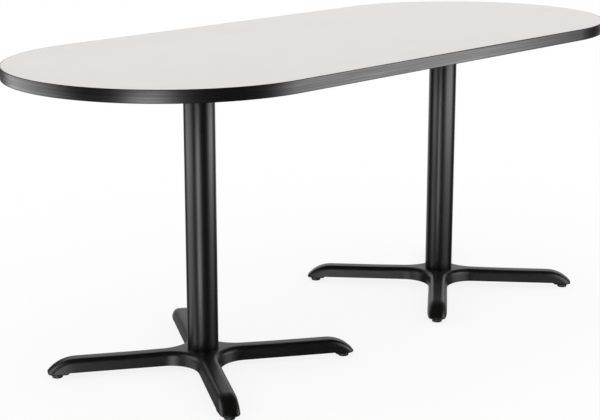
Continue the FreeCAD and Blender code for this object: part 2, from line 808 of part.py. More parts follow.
def check_features():
    """Stop if any feature failed, or added or removed nothing."""
    for item in doc.Objects:
        if "Invalid" in item.State or "Error" in item.State:
            raise RuntimeError("feature failed: " + item.Label)
        base = getattr(item, "BaseFeature", None)
        if base is None or not item.TypeId.startswith("PartDesign::"):
            continue
        if abs(item.Shape.Volume - base.Shape.Volume) < 1e-6:
            raise RuntimeError("feature changed nothing: " + item.Label)
        cuts = item.TypeId.split("::")[1] in ("Pocket", "Groove", "SubtractiveLoft")
        if cuts and item.Shape.Volume > base.Shape.Volume:
            raise RuntimeError("cut added material: " + item.Label)
    for body in nodes:
        if body.Shape.isNull() or not body.Shape.isValid():
            raise RuntimeError("bad shape: " + body.Label)


build_top()
for side_name, side_sign in SIDES:
    build_pedestal(side_name, side_sign)
doc.recompute()
check_features()

os.makedirs("parts", exist_ok=True)
for body in nodes:
    body.Shape.exportStep("parts/%s.step" % body.Label)
    box = body.Shape.BoundBox
    print("%-22s solids %d volume %.1f x %.1f..%.1f y %.1f..%.1f z %.1f..%.1f" % (
        body.Label, len(body.Shape.Solids), body.Shape.Volume,
        box.XMin, box.XMax, box.YMin, box.YMax, box.ZMin, box.ZMax))
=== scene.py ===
"""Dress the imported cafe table: laminate top, vinyl edge band, coated columns and cast X-bases on glides."""

from __future__ import annotations

import logging
import math
from collections.abc import Callable, Iterator
from contextlib import contextmanager
from dataclasses import dataclass, field
from enum import Enum
from typing import Any

import bmesh
import bpy
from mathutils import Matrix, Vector

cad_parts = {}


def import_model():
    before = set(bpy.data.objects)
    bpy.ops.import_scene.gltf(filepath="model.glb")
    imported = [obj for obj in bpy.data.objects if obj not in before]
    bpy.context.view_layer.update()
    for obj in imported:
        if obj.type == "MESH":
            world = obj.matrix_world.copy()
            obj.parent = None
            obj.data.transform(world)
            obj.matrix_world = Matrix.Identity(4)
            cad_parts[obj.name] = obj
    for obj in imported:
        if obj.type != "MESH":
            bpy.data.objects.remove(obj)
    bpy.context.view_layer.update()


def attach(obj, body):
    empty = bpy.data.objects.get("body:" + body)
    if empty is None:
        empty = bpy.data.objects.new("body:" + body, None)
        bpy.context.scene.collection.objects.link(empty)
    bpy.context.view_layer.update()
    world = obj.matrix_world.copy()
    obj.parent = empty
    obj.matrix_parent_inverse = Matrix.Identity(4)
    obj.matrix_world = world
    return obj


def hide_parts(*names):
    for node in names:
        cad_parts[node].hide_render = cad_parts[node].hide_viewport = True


LOG = logging.getLogger("cafe_table")
MM = 0.001
ARMS = 4
# Lengths that count as the same when parts of a mesh are chosen or merged
NEAR = 0.01 * MM
MERGE = 0.002 * MM
# Share of a unit normal along an axis from which a face looks that way, or lies flat
FACING = 0.9
FLAT = 0.99
# Segments of a large rounding and of a small one
ROUND_SEGMENTS = 5
EASE_SEGMENTS = 3
# Angles in degrees above which an edge is eased, or stays crisp in shading
EASED_ANGLE = 60.0
CRISP_ANGLE = 32.0
CRISP_COPY_ANGLE = 34.0
# V thread: depth as a share of its pitch, steps in one turn, and profile steps in shares of depth and pitch
THREAD_DEPTH = 0.61
THREAD_STEPS = 20
THREAD_PROFILE = ((0, 0.12), (1, 0.37), (0, 0.14), (-1, 0.37))
Colour = tuple[float, float, float, float]
Test = Callable[[Vector, Vector], bool]


class Part(Enum):
    """Kinds of mesh element that can be chosen."""

    VERTEX = "VERT"
    EDGE = "EDGE"
    FACE = "FACE"


class Side(Enum):
    """The two pedestals, with the sign of their X place and the turn of their base in degrees."""

    LEFT = ("left", -1, 10.3)
    RIGHT = ("right", 1, -8.1)

    @property
    def word(self) -> str:
        """Word that starts the names of the side's pieces."""
        return self.value[0]

    @property
    def sign(self) -> int:
        """Sign of the side's X place."""
        return self.value[1]

    @property
    def turn(self) -> float:
        """Turn of the side's base in degrees."""
        return self.value[2]


def colour(red: int, green: int, blue: int) -> Colour:
    """Turn a display colour into the linear colour that a shader takes.

    Args:
        red: Red from 0 to 255.
        green: Green from 0 to 255.
        blue: Blue from 0 to 255.

    Returns:
        Linear red, green, blue and an alpha of one.
    """
    shares = [value / 255 for value in (red, green, blue)]
    linear = [s / 12.92 if s <= 0.04045 else ((s + 0.055) / 1.055) ** 2.4 for s in shares]
    return (linear[0], linear[1], linear[2], 1.0)


def arm_angle(arm: int, turn: float = 0.0) -> float:
    """Angle in plan of one arm of a four-armed casting that is turned by some degrees, in radians."""
    return math.radians(45 + 360 / ARMS * arm + turn)


# Modelling steps


def start(name: str, adder: Callable[..., Any], **settings: Any) -> bpy.types.Object:
    """Add a primitive on its own, with its place applied to its mesh.

    Args:
        name: Name of the new piece.
        adder: Operator that adds the primitive.
        settings: Sizes and place for the operator.

    Returns:
        The new object, active and selected.
    """
    bpy.ops.object.select_all(action="DESELECT")
    adder(**settings)
    piece = bpy.context.active_object
    piece.name = name
    piece.data.name = name
    bpy.ops.object.transform_apply(location=True, rotation=True, scale=True)
    return piece


def pick_only(piece: bpy.types.Object) -> None:
    """Select one object alone and make it active.

    Args:
        piece: The object to select.
    """
    bpy.ops.object.select_all(action="DESELECT")
    piece.select_set(True)
    bpy.context.view_layer.objects.active = piece


def take_all() -> None:
    """Select everything in the open mesh."""
    bpy.ops.mesh.select_all(action="SELECT")


@contextmanager
def editing(piece: bpy.types.Object) -> Iterator[None]:
    """Hold one object in edit mode with everything in it selected.

    Args:
        piece: The object to edit.

    Returns:
        A context that leaves edit mode at its end.
    """
    pick_only(piece)
    bpy.ops.object.mode_set(mode="EDIT")
    bpy.ops.mesh.select_mode(type=Part.VERTEX.value)
    take_all()
    yield
    bpy.ops.object.mode_set(mode="OBJECT")


def choose(piece: bpy.types.Object, part: Part, test: Test) -> None:
    """Select the elements of an open mesh that pass a test.

    Args:
        piece: The object in edit mode.
        part: Kind of element to choose.
        test: Gets an element's middle and its normal, or an edge's direction, and says whether to take it.
    """
    bpy.ops.mesh.select_mode(type=part.value)
    bpy.ops.mesh.select_all(action="DESELECT")
    mesh = bmesh.from_edit_mesh(piece.data)
    if part is Part.VERTEX:
        for vertex in mesh.verts:
            vertex.select = test(vertex.co, vertex.normal)
    elif part is Part.EDGE:
        for edge in mesh.edges:
            first, second = (vertex.co for vertex in edge.verts)
            edge.select = test((first + second) / 2, (second - first).normalized())
    else:
        for face in mesh.faces:
            face.select = test(face.calc_center_median(), face.normal)
    mesh.select_flush_mode()
    bmesh.update_edit_mesh(piece.data)


def face_outwards() -> None:
    """Turn every face of the open mesh outwards."""
    take_all()
    bpy.ops.mesh.normals_make_consistent(inside=False)


def draw_out(x: float, z: float) -> None:
    """Extrude the selected faces along X and Z."""
    bpy.ops.mesh.extrude_region_move(TRANSFORM_OT_translate={"value": (x, 0, z)})


def shape_with(piece: bpy.types.Object, kind: str, **settings: Any) -> None:
    """Add a modifier to an object and apply it.

    Args:
        piece: The object to change.
        kind: Type of the modifier.
        settings: Values of the modifier.
    """
    pick_only(piece)
    modifier = piece.modifiers.new(kind.lower(), kind)
    for key, value in settings.items():
        setattr(modifier, key, value)
    bpy.ops.object.modifier_apply(modifier=modifier.name)


def ease(piece: bpy.types.Object, width: float) -> None:
    """Bevel the sharp edges of a piece by a small width."""
    shape_with(piece, "BEVEL", width=width, segments=2, limit_method="ANGLE",
               angle_limit=math.radians(EASED_ANGLE))


def smooth(piece: bpy.types.Object, angle: float = CRISP_ANGLE) -> None:
    """Shade an object smooth, with edges sharper than an angle in degrees left crisp."""
    pick_only(piece)
    bpy.ops.object.shade_smooth_by_angle(angle=math.radians(angle))


def twin_of(piece: bpy.types.Object, name: str) -> bpy.types.Object:
    """Copy a piece with a mesh of its own.

    Args:
        piece: The piece to copy.
        name: Name of the copy and of its mesh.

    Returns:
        The copy, at the origin.
    """
    twin = bpy.data.objects.new(name, piece.data.copy())
    twin.data.name = name
    bpy.context.scene.collection.objects.link(twin)
    return twin


def copy_of(piece: bpy.types.Object, name: str, shift: Vector) -> bpy.types.Object:
    """Copy a piece and move the copy's mesh.

    Args:
        piece: The piece to copy.
        name: Name of the copy.
        shift: How far the copy's mesh is moved.

    Returns:
        The copy, at the origin, its place in its mesh.
    """
    twin = twin_of(piece, name)
    with editing(twin):
        bpy.ops.transform.translate(value=shift)
    return twin


def joined(pieces: list[bpy.types.Object], name: str) -> bpy.types.Object:
    """Join several objects into the first one.

    Args:
        pieces: Objects to join.
        name: Name of the result.

    Returns:
        The joined object.
    """
    bpy.ops.object.select_all(action="DESELECT")
    for piece in pieces:
        piece.select_set(True)
    bpy.context.view_layer.objects.active = pieces[0]
    bpy.ops.object.join()
    pieces[0].name = name
    pieces[0].data.name = name
    return pieces[0]


def smooth_copy(node: str, name: str) -> bpy.types.Object:
    """Make a merged, smoothly shaded copy of a CAD node.

    Args:
        node: Name of the CAD node.
        name: Name of the copy.

    Returns:
        The copy, which still has to ride and replace the node.
    """
    twin = twin_of(bpy.data.objects[node], name)
    with editing(twin):
        bpy.ops.mesh.customdata_custom_splitnormals_clear()
        bpy.ops.mesh.remove_doubles(threshold=MERGE)
    smooth(twin, CRISP_COPY_ANGLE)
    shape_with(twin, "WEIGHTED_NORMAL", keep_sharp=True, weight=80)
    return twin


def threaded_bar(name: str, low: float, high: float, radius: float, pitch: float) -> bpy.types.Object:
    """Model an upright bar with a V thread along its whole length, at the origin in plan.

    Args:
        name: Name of the bar.
        low: Height of its lower end.
        high: Height of its upper end.
        radius: Radius at the crest of the thread.
        pitch: Distance between crests.

    Returns:
        The bar, closed at both ends.
    """
    depth = THREAD_DEPTH * pitch
    bar = start(name, bpy.ops.mesh.primitive_plane_add, size=pitch)
    with editing(bar):
        bpy.ops.mesh.merge(type="CENTER")
        bpy.ops.transform.translate(value=(radius - depth, 0, low - pitch))
        for outwards, upwards in THREAD_PROFILE:
            step = {"value": (outwards * depth, 0, upwards * pitch)}
            bpy.ops.mesh.extrude_vertices_move(TRANSFORM_OT_translate=step)
    turns = math.ceil((high - low) / pitch) + 2
    shape_with(bar, "SCREW", angle=2 * math.pi, screw_offset=pitch, iterations=turns, steps=THREAD_STEPS,
               render_steps=THREAD_STEPS, use_merge_vertices=True, merge_threshold=0.5 * MERGE)
    with editing(bar):
        bpy.ops.mesh.remove_doubles(threshold=MERGE)
        bpy.ops.mesh.bisect(plane_co=(0, 0, low), plane_no=(0, 0, 1), clear_inner=True, use_fill=True)
        take_all()
        bpy.ops.mesh.bisect(plane_co=(0, 0, high), plane_no=(0, 0, 1), clear_outer=True, use_fill=True)
        take_all()
        bpy.ops.mesh.fill_holes(sides=0)
        face_outwards()
    return bar


# Shader nodes


class Value:
    """A shader socket that takes part in written arithmetic."""

    def __init__(self, graph: Graph, socket: bpy.types.NodeSocket) -> None:
        """Keep the socket and the graph that it belongs to."""
        self.graph = graph
        self.socket = socket

    def _math(self, operation: str, first: Value | float, second: Value | float) -> Value:
        """Add a Math node for two values and return its result."""
        return self.graph.node("ShaderNodeMath", {"operation": operation}, {0: first, 1: second})

    def __add__(self, other: Value | float) -> Value:
        """Sum of two values."""
        return self._math("ADD", self, other)

    def __radd__(self, other: float) -> Value:
        """Sum with a number on the left."""
        return self._math("ADD", other, self)

    def __sub__(self, other: Value | float) -> Value:
        """Difference of two values."""
        return self._math("SUBTRACT", self, other)

    def __rsub__(self, other: float) -> Value:
        """Difference from a number on the left."""
        return self._math("SUBTRACT", other, self)

    def __mul__(self, other: Value | float) -> Value:
        """Product of two values."""
        return self._math("MULTIPLY", self, other)

    def __rmul__(self, other: float) -> Value:
        """Product with a number on the left."""
        return self._math("MULTIPLY", other, self)


class Graph:
    """Node tree of one finish, or of the world."""

    def __init__(self, owner: bpy.types.Material | bpy.types.World) -> None:
        """Empty the owner's node tree."""
        owner.use_nodes = True
        self.tree = owner.node_tree
        self.tree.nodes.clear()

    def node(self, kind: str, settings: dict[str, Any] | None = None,
             sockets: dict[str | int, Any] | None = None, out: str | int = 0) -> Value:
        """Add one node.

        Args:
            kind: Type of the node.
            settings: Properties that are set first; stops gives the places and colours of a ramp.
            sockets: Values or links of the input sockets.
            out: Output socket to return.

        Returns:
            The chosen output.
        """
        item = self.tree.nodes.new(kind)
        for key, value in (settings or {}).items():
            if key != "stops":
                setattr(item, key, value)
                continue
            elements = item.color_ramp.elements
            while len(elements) < len(value):
                elements.new(0.5)
            for element, (place, shade) in zip(elements, value):
                element.position = place
                element.color = (shade, shade, shade, 1.0)
        for key, value in (sockets or {}).items():
            if isinstance(value, Value):
                self.tree.links.new(value.socket, item.inputs[key])
            else:
                item.inputs[key].default_value = value
        return Value(self, item.outputs[out])

    def place(self, stretch: tuple[float, float, float] = (1.0, 1.0, 1.0)) -> Value:
        """Give the object's own coordinates, stretched along each axis."""
        point = self.node("ShaderNodeTexCoord", out="Object")
        return self.node("ShaderNodeMapping", None, {"Vector": point, "Scale": stretch})

    def noise(self, point: Value, scale: float, detail: float = 2.0, roughness: float = 0.5) -> Value:
        """Add a noise pattern with that many waves to the metre."""
        return self.node("ShaderNodeTexNoise", {"normalize": True}, {
            "Vector": point, "Scale": scale, "Detail": detail, "Roughness": roughness})

    def ramp(self, value: Value, *stops: tuple[float, float]) -> Value:
        """Bend a value through grey stops, each a place and a level."""
        return self.node("ShaderNodeValToRGB", {"stops": stops}, {"Fac": value})

    def blend(self, share: Value, first: Value | Colour, second: Value | Colour) -> Value:
        """Mix two colours by a share."""
        return self.node("ShaderNodeMix", {"data_type": "RGBA"}, {0: share, 6: first, 7: second}, out=2)

    def bump(self, height: Value, distance: float, strength: float = 1.0) -> Value:
        """Turn a height pattern into a normal, its full range standing that far out in metres."""
        return self.node("ShaderNodeBump", None, {
            "Height": height, "Distance": distance, "Strength": strength})

    def axis(self, point: Value, name: str) -> Value:
        """Give one of the X, Y and Z of a point."""
        return self.node("ShaderNodeSeparateXYZ", None, {"Vector": point}, out=name)

    def surface(self, **sockets: Any) -> None:
        """Close the graph with the main shader.

        Args:
            sockets: Values or links of its sockets, their names written with underlines for spaces.
        """
        named = {key.replace("_", " "): value for key, value in sockets.items()}
        shader = self.node("ShaderNodeBsdfPrincipled", None, named)
        self.node_out(shader)

    def node_out(self, shader: Value) -> None:
        """Link a shader to a new output of the material."""
        item = self.tree.nodes.new("ShaderNodeOutputMaterial")
        self.tree.links.new(shader.socket, item.inputs["Surface"])


# Finishes


@dataclass(frozen=True)
class Finish:
    """A finish with a name, a main colour and a second colour that it drifts to."""

    name: str
    main: Colour
    drift: Colour

    def material(self) -> bpy.types.Material:
        """Build the material of the finish.

        Returns:
            The material, which has the finish's name.
        """
        material = bpy.data.materials.new(self.name)
        self.lay(Graph(material))
        return material

    def lay(self, g: Graph) -> None:
        """Lay the pattern of the finish in an empty graph."""
        raise NotImplementedError


@dataclass(frozen=True)
class LaminateFinish(Finish):
    """Satin decorative laminate with a fine pressed texture."""

    def lay(self, g: Graph) -> None:
        """Build off-white laminate: faint fibre clouds, fine flecks and a pressed grain.

        Args:
            g: Empty graph of the material.
        """
        point = g.place()
        cloud = g.noise(point, 9.0, 4.0, 0.6)
        fleck = g.ramp(g.noise(point, 900.0, 2.0, 0.6), (0.35, 0.0), (0.75, 1.0))
        grain = g.noise(point, 2600.0, 2.0, 0.55)
        pressed = g.noise(point, 420.0, 3.0, 0.6)
        tone = g.blend(cloud * 0.55 + fleck * 0.35, self.main, self.drift)
        g.surface(Base_Color=tone, Roughness=0.36 + 0.10 * pressed + 0.06 * cloud,
                  Specular_IOR_Level=0.3,
                  Normal=g.bump(grain * 0.6 + pressed, 0.02 * MM, 0.5))


@dataclass(frozen=True)
class VinylFinish(Finish):
    """Extruded vinyl with fine draw lines along its length."""

    def lay(self, g: Graph) -> None:
        """Build satin vinyl whose draw lines run level round the top.

        Args:
            g: Empty graph of the material.
        """
        lines = g.noise(g.place((3.0, 3.0, 900.0)), 1.0, 3.0, 0.6)
        broad = g.noise(g.place((1.2, 1.2, 140.0)), 1.0, 2.0, 0.5)
        skin = g.noise(g.place(), 1400.0, 2.0, 0.6)
        scuff = g.ramp(g.noise(g.place((30.0, 30.0, 160.0)), 1.0, 4.0, 0.65), (0.58, 0.0), (0.8, 1.0))
        streak = g.ramp(g.noise(g.place((2.0, 2.0, 260.0)), 1.0, 4.0, 0.7), (0.42, 0.0), (0.66, 1.0))
        tone = g.blend(lines * 0.5 + scuff * 0.5, self.main, self.drift)
        g.surface(Base_Color=tone, Roughness=0.26 + 0.12 * lines + 0.06 * broad + 0.08 * scuff,
                  Specular_IOR_Level=0.42, Coat_Weight=0.55 * streak, Coat_Roughness=0.28,
                  Normal=g.bump(lines + 0.4 * broad + 0.3 * skin, 0.04 * MM, 0.8))


@dataclass(frozen=True)
class CoatFinish(Finish):
    """Powder coat: orange peel on the surface and, on castings, the sand skin under it."""

    peel: float = 0.05
    peel_scale: float = 420.0
    cast: float = 0.0
    gloss: float = 0.3
    shine: float = 0.5

    def lay(self, g: Graph) -> None:
        """Build satin black powder coat with orange peel, dust and rubbed patches.

        Args:
            g: Empty graph of the material.
        """
        point = g.place()
        peel = g.noise(point, self.peel_scale, 2.0, 0.5)
        fine = g.noise(point, 3200.0, 2.0, 0.6)
        lump = g.noise(point, 75.0, 3.0, 0.55)
        cloud = g.noise(point, 12.0, 3.0, 0.55)
        rubbed = g.ramp(g.noise(point, 32.0, 5.0, 0.7), (0.6, 0.0), (0.82, 1.0))
        tone = g.blend(cloud * 0.4 + fine * 0.25 + rubbed * 0.35, self.main, self.drift)
        height = self.peel * peel + 0.25 * self.peel * fine + self.cast * lump
        g.surface(Base_Color=tone, Specular_IOR_Level=self.shine,
                  Roughness=self.gloss + 0.10 * fine + 0.06 * cloud + 0.07 * rubbed,
                  Normal=g.bump(height, MM, 1.0))


@dataclass(frozen=True)
class ZincFinish(Finish):
    """Zinc plate on steel: spangled tone and fine turning marks."""

    def lay(self, g: Graph) -> None:
        """Build bright zinc with cloudy passivation and fine scratches.

        Args:
            g: Empty graph of the material.
        """
        point = g.place()
        cloud = g.noise(point, 160.0, 3.0, 0.6)
        marks = g.noise(g.place((300.0, 300.0, 5200.0)), 1.0, 2.0, 0.5)
        dust = g.ramp(g.noise(point, 620.0, 4.0, 0.7), (0.55, 0.0), (0.85, 1.0))
        tone = g.blend(cloud * 0.7 + dust * 0.3, self.main, self.drift)
        g.surface(Base_Color=tone, Metallic=1.0, Roughness=0.26 + 0.14 * cloud + 0.15 * dust,
                  Normal=g.bump(marks, 0.02 * MM, 0.5))


@dataclass(frozen=True)
class NylonFinish(Finish):
    """Moulded nylon with a spark-eroded skin."""

    def lay(self, g: Graph) -> None:
        """Build matt nylon with a pebbled skin, scuffed grey low down where it meets the floor.

        Args:
            g: Empty graph of the material.
        """
        point = g.place()
        skin = g.noise(point, 1500.0, 3.0, 0.6)
        blotch = g.noise(point, 120.0, 3.0, 0.6)
        scuff = g.ramp(g.noise(g.place((700.0, 700.0, 220.0)), 1.0, 4.0, 0.7), (0.55, 0.0), (0.8, 1.0))
        tone = g.blend(blotch * 0.4 + scuff * 0.6, self.main, self.drift)
        g.surface(Base_Color=tone, Roughness=0.45 + 0.15 * blotch + 0.12 * scuff,
                  Normal=g.bump(skin, 0.06 * MM, 0.7))


@dataclass(frozen=True)
class BackerFinish(Finish):
    """Sanded phenolic sheet."""

    def lay(self, g: Graph) -> None:
        """Build brown phenolic with fibre clouds and sanding lines along the top.

        Args:
            g: Empty graph of the material.
        """
        fibre = g.noise(g.place(), 260.0, 5.0, 0.7)
        cloud = g.noise(g.place(), 7.0, 3.0, 0.6)
        sanding = g.noise(g.place((6.0, 1500.0, 6.0)), 1.0, 2.0, 0.6)
        tone = g.blend(fibre * 0.5 + cloud * 0.3 + sanding * 0.2, self.main, self.drift)
        g.surface(Base_Color=tone, Roughness=0.52 + 0.12 * fibre + 0.08 * sanding,
                  Normal=g.bump(sanding + 0.5 * fibre, 0.03 * MM, 0.6))


@dataclass(frozen=True)
class BoardFinish(Finish):
    """Raw particle board."""

    def lay(self, g: Graph) -> None:
        """Build pressed wood flakes, each with a tone of its own.

        Args:
            g: Empty graph of the material.
        """
        cells = {"Vector": g.place((1.0, 1.0, 2.2)), "Scale": 320.0, "Randomness": 1.0}
        tint = g.node("ShaderNodeTexVoronoi", None, cells, out="Color")
        flake = g.node("ShaderNodeSeparateColor", None, {"Color": tint})
        seam = g.node("ShaderNodeTexVoronoi", {"feature": "DISTANCE_TO_EDGE"}, cells)
        gap = g.ramp(seam, (0.0, 1.0), (0.12, 0.0))
        fibre = g.noise(g.place((1.0, 1.0, 4.0)), 1500.0, 3.0, 0.6)
        tone = g.blend(flake * 0.6 + fibre * 0.2 + gap * 0.2, self.main, self.drift)
        g.surface(Base_Color=tone, Roughness=0.72 + 0.15 * fibre,
                  Normal=g.bump(fibre * 0.4 - gap, 0.15 * MM, 0.7))


@dataclass
class Palette:
    """Every finish of the table, built once."""

    laminate: bpy.types.Material = field(init=False)
    vinyl: bpy.types.Material = field(init=False)
    casting: bpy.types.Material = field(init=False)
    tube: bpy.types.Material = field(init=False)
    zinc: bpy.types.Material = field(init=False)
    nylon: bpy.types.Material = field(init=False)
    backer: bpy.types.Material = field(init=False)
    board: bpy.types.Material = field(init=False)

    def __post_init__(self) -> None:
        """Build the materials."""
        self.laminate = LaminateFinish(
            "off_white_laminate", colour(238, 233, 230), colour(232, 227, 223)).material()
        self.vinyl = VinylFinish(
            "black_edge_vinyl", colour(8, 8, 9), colour(18, 18, 18)).material()
        self.casting = CoatFinish(
            "black_cast_coat", colour(7, 7, 7), colour(16, 15, 15),
            peel=0.03, peel_scale=520.0, cast=0.16, gloss=0.30, shine=0.37).material()
        self.tube = CoatFinish(
            "black_tube_coat", colour(10, 10, 11), colour(18, 18, 18),
            peel=0.025, peel_scale=480.0, gloss=0.24).material()
        self.zinc = ZincFinish("bright_zinc", colour(196, 198, 200), colour(168, 170, 172)).material()
        self.nylon = NylonFinish("black_nylon", colour(22, 22, 23), colour(52, 51, 50)).material()
        self.backer = BackerFinish("brown_phenolic", colour(92, 75, 60), colour(64, 52, 42)).material()
        self.board = BoardFinish("particle_board", colour(198, 170, 128), colour(150, 118, 80)).material()


@dataclass
class Dresser:
    """Puts a finish on a piece, ties it to its body and hides the CAD nodes that it stands for."""

    placed: list[str] = field(default_factory=list)

    def dress(self, piece: bpy.types.Object, material: bpy.types.Material, body: str, slot: str,
              *nodes: str) -> None:
        """Finish a new piece.

        Args:
            piece: The piece.
            material: Its material.
            body: CAD body that it moves with.
            slot: Name of a material slot; not used.
            nodes: CAD nodes that it stands for.
        """
        piece.data.materials.clear()
        piece.data.materials.append(material)
        for face in piece.data.polygons:
            face.material_index = 0
        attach(piece, body)
        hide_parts(*nodes)
        self.placed.append(piece.name)
        LOG.info("%s rides on %s: %d faces", piece.name, body, len(piece.data.polygons))

    def paint(self, node: str, material: bpy.types.Material) -> None:
        """Give a CAD node that stays in view its material.

        Args:
            node: Name of the CAD node.
            material: Its material.
        """
        target = bpy.data.objects[node]
        target.data.materials.clear()
        target.data.materials.append(material)
        LOG.info("%s keeps its CAD shape", node)


# Sub-assemblies


@dataclass
class TableTop:
    """Racetrack top: laminate sheet, core, backer and the vinyl band round its edge."""

    length: float = 1828.8 * MM
    width: float = 762.0 * MM
    height: float = 736.6 * MM
    laminate: float = 0.9 * MM
    thickness: float = 28.6 * MM
    band: float = 2.4 * MM
    band_round: float = 1.5 * MM
    fit: float = 0.05 * MM
    seam: float = 0.3 * MM
    spine: float = 9.5 * MM
    spine_thickness: float = 1.6 * MM
    sheet_ease: float = 0.35 * MM
    sheet_points: int = 256
    sweep_steps: int = 160
    crisp_angle: float = 28.0

    @property
    def run(self) -> float:
        """Half of the straight part of the long sides."""
        return (self.length - self.width) / 2

    def build_sheet(self) -> bpy.types.Object:
        """Model the laminate sheet with its eased upper rim.

        Returns:
            The sheet.
        """
        radius = self.width / 2 - self.band - self.fit
        low = self.height - self.laminate
        sheet = start("laminate_sheet", bpy.ops.mesh.primitive_circle_add, radius=radius,
                      vertices=self.sheet_points, fill_type="NGON", location=(0, 0, low))
        with editing(sheet):
            bpy.ops.mesh.bisect(plane_co=(0, 0, 0), plane_no=(1, 0, 0), clear_inner=True)
            take_all()
            bpy.ops.transform.translate(value=(self.run, 0, 0))
            choose(sheet, Part.EDGE, lambda at, way: abs(at.x - self.run) < MM and abs(way.y) > FACING)
            bpy.ops.mesh.extrude_edges_move(TRANSFORM_OT_translate={"value": (-self.run, 0, 0)})
        shape_with(sheet, "MIRROR", use_axis=(True, False, False), merge_threshold=NEAR)
        with editing(sheet):
            face_outwards()
            bpy.ops.mesh.dissolve_limited(angle_limit=0.001)
            take_all()
            draw_out(0, self.laminate)
            face_outwards()
            rim = self.height - 0.1 * self.laminate
            choose(sheet, Part.EDGE, lambda at, way: at.z > rim and self.is_rim(at, radius))
            bpy.ops.mesh.bevel(offset=self.sheet_ease, segments=EASE_SEGMENTS, affect="EDGES")
        smooth(sheet)
        return sheet

    def is_rim(self, at: Vector, radius: float) -> bool:
        """Say whether a point lies on the racetrack of that end radius."""
        along = max(abs(at.x) - self.run, 0.0)
        return abs(math.hypot(along, at.y) - radius) < 0.5 * MM

    def build_band(self) -> bpy.types.Object:
        """Model the T-shaped edge band as one sweep with a butt seam on the far side.

        Returns:
            The band.
        """
        inner = self.width / 2 - self.band
        middle = self.height - self.thickness / 2
        band = start("edge_band_moulding", bpy.ops.mesh.primitive_plane_add, size=1.0,
                     rotation=(math.pi / 2, 0, math.pi / 2))
        with editing(band):
            bpy.ops.transform.resize(value=(1, self.band, self.thickness))
            bpy.ops.transform.translate(value=(0, -inner - self.band / 2, middle))
            choose(band, Part.VERTEX, lambda at, way: at.y < -inner - self.band / 2)
            bpy.ops.mesh.bevel(offset=self.band_round, segments=ROUND_SEGMENTS, affect="VERTICES")
            for level in (self.spine_thickness / 2, -self.spine_thickness / 2):
                take_all()
                bpy.ops.mesh.bisect(plane_co=(0, 0, middle + level), plane_no=(0, 0, 1))
            choose(band, Part.EDGE,
                   lambda at, way: at.y > -inner - NEAR and abs(at.z - middle) < self.spine_thickness / 4)
            bpy.ops.mesh.extrude_edges_move(TRANSFORM_OT_translate={"value": (0, self.spine, 0)})
            take_all()
            bpy.ops.transform.translate(value=(self.run, 0, 0))
            bpy.ops.mesh.spin(steps=self.sweep_steps, angle=-math.pi, center=(self.run, 0, 0),
                              axis=(0, 0, 1))
            for side, stop in ((-1, 0.0), (1, self.seam / 2)):
                self.draw_straight(band, side, stop)
            take_all()
            bpy.ops.mesh.remove_doubles(threshold=MERGE)
        shape_with(band, "MIRROR", use_axis=(True, False, False), merge_threshold=NEAR)
        self.close_band(band)
        smooth(band, self.crisp_angle)
        return band

    def draw_straight(self, band: bpy.types.Object, side: int, stop: float) -> None:
        """Draw one open end of the swept half on along the straight side.

        Args:
            band: The band in edit mode.
            side: Sign of the side's Y.
            stop: X at which the straight part ends.
        """
        choose(band, Part.FACE,
               lambda at, way: abs(at.x - self.run) < NEAR and at.y * side > 0 and abs(way.x) > FACING)
        draw_out(stop - self.run, 0)

    def close_band(self, band: bpy.types.Object) -> None:
        """Drop faces left inside the band at its middle and turn all faces outwards.

        Args:
            band: The whole band.
        """
        with editing(band):
            choose(band, Part.FACE, lambda at, way: abs(at.x) < NEAR and at.y < 0 and abs(way.x) > FACING)
            bpy.ops.mesh.delete(type="FACE")
            choose(band, Part.FACE, lambda at, way: abs(abs(at.x) - self.run) < NEAR and abs(way.x) > FACING)
            bpy.ops.mesh.delete(type="FACE")
            take_all()
            bpy.ops.mesh.remove_doubles(threshold=MERGE)
            face_outwards()

    def build(self, palette: Palette, dresser: Dresser) -> None:
        """Build and dress the whole top.

        Args:
            palette: Materials to use.
            dresser: Ties pieces to their bodies.
        """
        dresser.dress(self.build_sheet(), palette.laminate, "table", "laminate", "top_laminate")
        dresser.dress(self.build_band(), palette.vinyl, "table", "edge_vinyl", "edge_band")
        dresser.paint("core_panel", palette.board)
        dresser.paint("backer_sheet", palette.backer)


